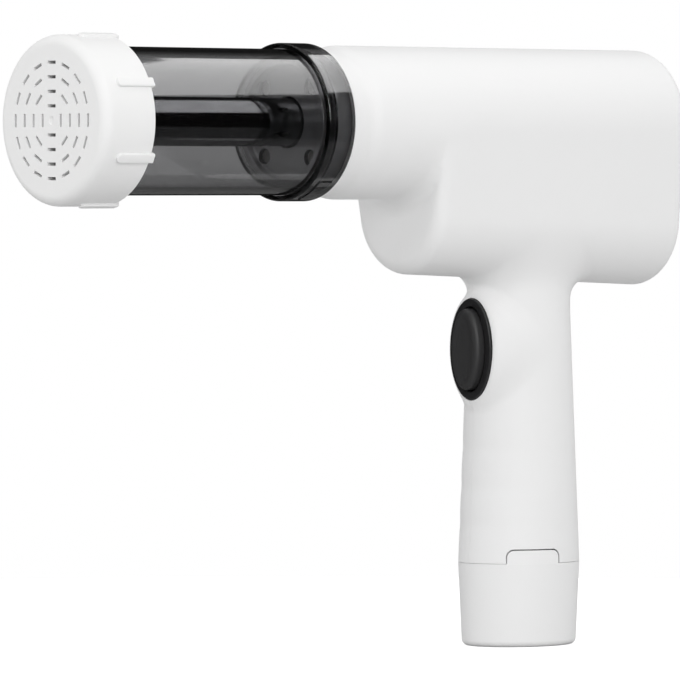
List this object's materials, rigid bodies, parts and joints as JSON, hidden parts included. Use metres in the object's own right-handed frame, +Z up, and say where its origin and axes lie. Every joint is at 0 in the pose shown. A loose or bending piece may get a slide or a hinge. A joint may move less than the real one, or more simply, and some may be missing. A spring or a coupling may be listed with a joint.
{
  "type": "electric pasta maker",
  "caption": "Handheld cordless pasta press: level see-through barrel with a slotted screw-on die cap, white pistol-grip body, rocker button and slide-off battery pack.",
  "frame": {"origin": "centre of the flat underside of the battery pack, on the axis of the grip", "axes": "+Z up along the grip, +X to the rear of the body; the barrel is level and points to -X"},
  "size_m": [0.32, 0.0701, 0.2554],
  "materials": {
    "white_plastic": "satin",
    "steel": "satin",
    "dark_gloss_plastic": "gloss",
    "black_rubber": "matte",
    "gear_plastic": "satin",
    "dark_plastic": "satin",
    "cast_alloy": "satin",
    "black_plastic": "satin",
    "circuit_board": "satin",
    "piston_plastic": "satin",
    "bronze": "satin",
    "button_rubber": "matte",
    "smoky_plastic": "polished",
    "pale_rubber": "matte",
    "cap_plastic": "satin",
    "cell_wrap": "satin",
    "contact_metal": "polished"
  },
  "bodies": {
    "housing": {"housing_left": "white_plastic", "housing_right": "white_plastic", "shell_screw_1": "steel", "shell_screw_2": "steel", "shell_screw_3": "steel", "shell_screw_4": "steel", "shell_screw_5": "steel", "front_plate": "dark_gloss_plastic", "plate_screw_1": "steel", "plate_screw_2": "steel", "plate_screw_3": "steel", "plate_screw_4": "steel", "rod_seal": "black_rubber", "rod_bushing": "gear_plastic", "front_bulkhead": "dark_plastic", "guide_rod_1": "steel", "guide_rod_2": "steel", "gear_plate": "cast_alloy", "rear_frame": "steel", "thrust_bearing": "steel", "gearbox": "steel", "motor": "steel", "button_bezel": "black_plastic", "rocker_pin": "steel", "control_board": "circuit_board", "switch_forward": "dark_plastic", "switch_reverse": "dark_plastic", "contact_block": "dark_plastic", "motor_lead": "black_rubber", "battery_lead": "black_rubber"},
    "screw": {"lead_screw": "steel", "screw_gear": "gear_plastic", "retaining_ring": "steel"},
    "pinion": {"pinion": "steel"},
    "pusher": {"push_rod": "dark_gloss_plastic", "piston": "piston_plastic", "piston_seal": "black_rubber", "carriage": "gear_plastic", "drive_nut": "bronze"},
    "rocker": {"rocker_button": "button_rubber"},
    "barrel": {"barrel_tube": "smoky_plastic", "lock_ring": "smoky_plastic"},
    "cap_seal": {"cap_seal": "pale_rubber"},
    "cap": {"die_cap": "cap_plastic"},
    "battery": {"battery_shell": "white_plastic", "battery_case": "dark_plastic", "cell_1": "cell_wrap", "cell_2": "cell_wrap", "battery_contact_1": "contact_metal", "battery_contact_2": "contact_metal", "charge_socket": "dark_plastic"}
  },
  "joints": [
    {"name": "screw_spin", "type": "hinge", "parent": "housing", "child": "screw", "pos_m": [0, 0, 0.22016], "axis": [-1, 0, 0], "range_deg": [0, 4410]},
    {"name": "pinion_spin", "type": "hinge", "parent": "housing", "child": "pinion", "pos_m": [0.008, 0, 0.18416], "axis": [-1, 0, 0], "range_deg": [-7351, 0]},
    {"name": "piston_stroke", "type": "slide", "parent": "housing", "child": "pusher", "axis": [1, 0, 0], "range_m": [0, 0.098]},
    {"name": "rocker_tilt", "type": "hinge", "parent": "housing", "child": "rocker", "pos_m": [-0.01984, 0, 0.1253], "axis": [0, 1, 0], "range_deg": [-3.5, 3.5], "stiffness_Nm_per_rad": 0.3},
    {"name": "barrel_turn", "type": "hinge", "parent": "housing", "child": "barrel", "pos_m": [-0.126, 0, 0.22016], "axis": [-1, 0, 0], "range_deg": [0, 60]},
    {"name": "cap_advance", "type": "slide", "parent": "barrel", "child": "cap_seal", "axis": [-1, 0, 0], "range_m": [0, 0.018]},
    {"name": "cap_turn", "type": "hinge", "parent": "cap_seal", "child": "cap", "pos_m": [-0.24, 0, 0.22016], "axis": [-1, 0, 0], "range_deg": [0, 1080]},
    {"name": "battery_slide", "type": "slide", "parent": "housing", "child": "battery", "axis": [0, 0, -1], "range_m": [0, 0.04]}
  ],
  "couplings": [
    {"joint": "screw_spin", "follows": "piston_stroke", "rad_per_m": 785.4},
    {"joint": "pinion_spin", "follows": "piston_stroke", "rad_per_m": -1309},
    {"joint": "cap_turn", "follows": "cap_advance", "rad_per_m": 1047.2}
  ]
}
